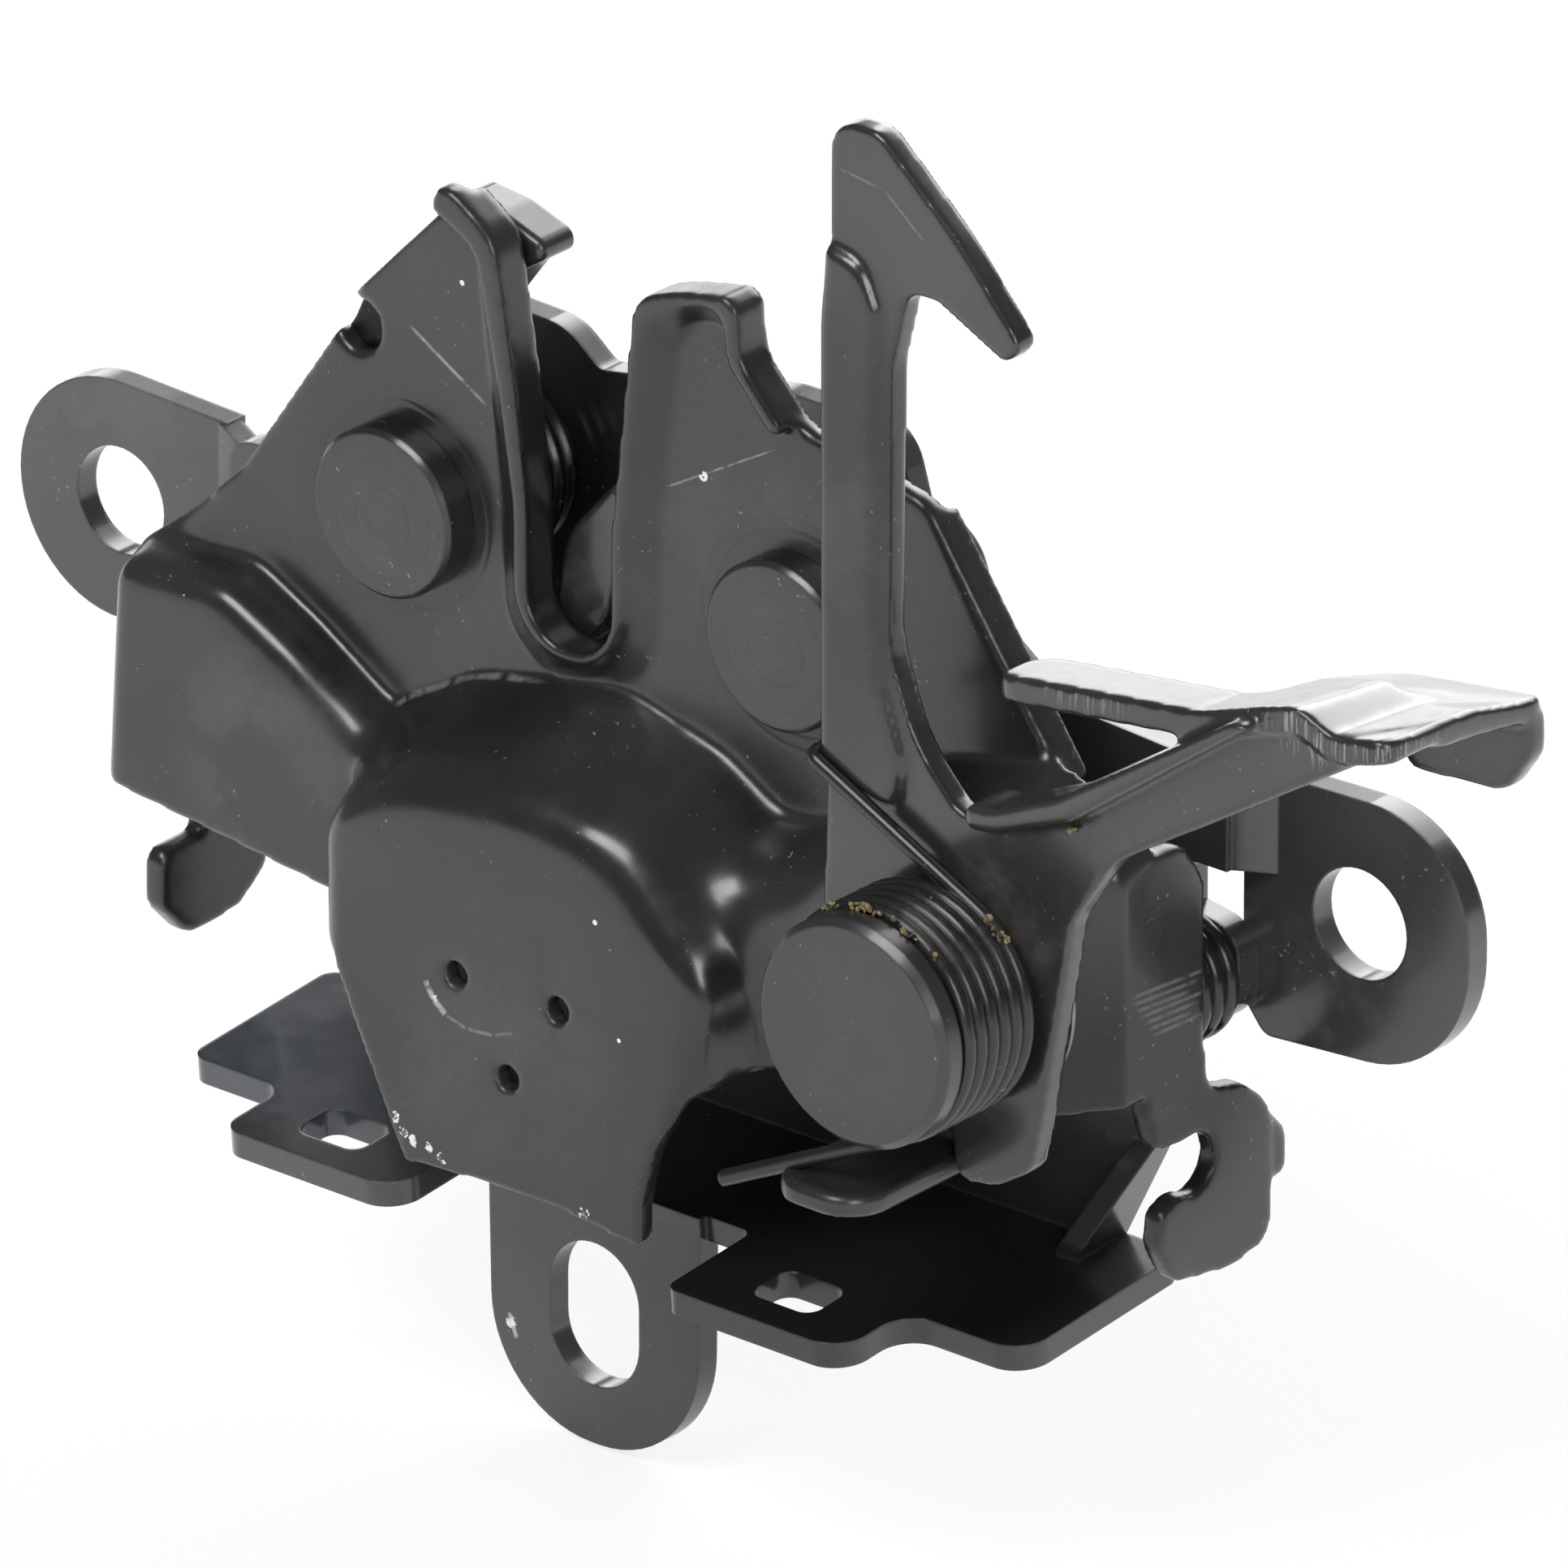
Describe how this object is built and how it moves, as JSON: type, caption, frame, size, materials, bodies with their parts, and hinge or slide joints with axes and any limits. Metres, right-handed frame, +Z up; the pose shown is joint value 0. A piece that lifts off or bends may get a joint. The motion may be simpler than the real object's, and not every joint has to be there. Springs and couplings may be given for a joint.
{
  "type": "bonnet latch",
  "caption": "Pressed steel bonnet latch with a striker slot, a catch claw and pawl, a sprung safety hook with a finger plate, mounting ears and a bent base plate.",
  "frame": {"origin": "on the rear mounting face, midway between the centres of the two upper ear holes", "axes": "+X from the left ear to the right ear as seen from the front, +Y to the rear out of the mounting face, +Z up"},
  "size_m": [0.2104, 0.0513, 0.1619],
  "materials": {
    "plate_coat": "black paint, glossy",
    "claw_coat": "black paint, glossy",
    "rivet_coat": "black paint, glossy",
    "lever_coat": "black paint, glossy",
    "spring_coat": "black paint, satin",
    "spacer_steel": "turned",
    "bush_plastic": "pale moulded plastic with grease"
  },
  "bodies": {
    "housing": {"back_plate": "plate_coat", "front_plate": "plate_coat", "claw_rivet": "rivet_coat", "pawl_rivet": "rivet_coat", "claw_spacer": "spacer_steel", "pawl_spacer": "spacer_steel", "claw_washer": "spacer_steel", "pawl_washer": "spacer_steel", "lever_pin": "rivet_coat", "lever_bush": "bush_plastic", "lever_washer": "spacer_steel", "lever_spring": "spring_coat", "pawl_spring_post": "rivet_coat", "pawl_spring": "spring_coat", "claw_spring": "spring_coat"},
    "claw_body": {"claw": "claw_coat"},
    "pawl_body": {"pawl": "claw_coat"},
    "lever_body": {"hook_lever": "lever_coat"}
  },
  "joints": [
    {"name": "claw_turn", "type": "hinge", "parent": "housing", "child": "claw_body", "pos_m": [-0.0262, -0.0153, 0.0222], "axis": [0, 1, 0], "range_deg": [0, 50], "stiffness_Nm_per_rad": 0.02, "springref_deg": -34.38, "deforming": ["claw_spring"]},
    {"name": "pawl_turn", "type": "hinge", "parent": "housing", "child": "pawl_body", "pos_m": [0.0262, -0.0153, 0.0222], "axis": [0, 1, 0], "range_deg": [-12, 0], "stiffness_Nm_per_rad": 0.02, "springref_deg": 34.38, "deforming": ["pawl_spring"]},
    {"name": "hook_lever_turn", "type": "hinge", "parent": "housing", "child": "lever_body", "pos_m": [0.0567, -0.0346, -0.0031], "axis": [0, 1, 0], "range_deg": [-25, 0], "stiffness_Nm_per_rad": 0.3, "springref_deg": 45.84, "deforming": ["lever_spring"]}
  ]
}
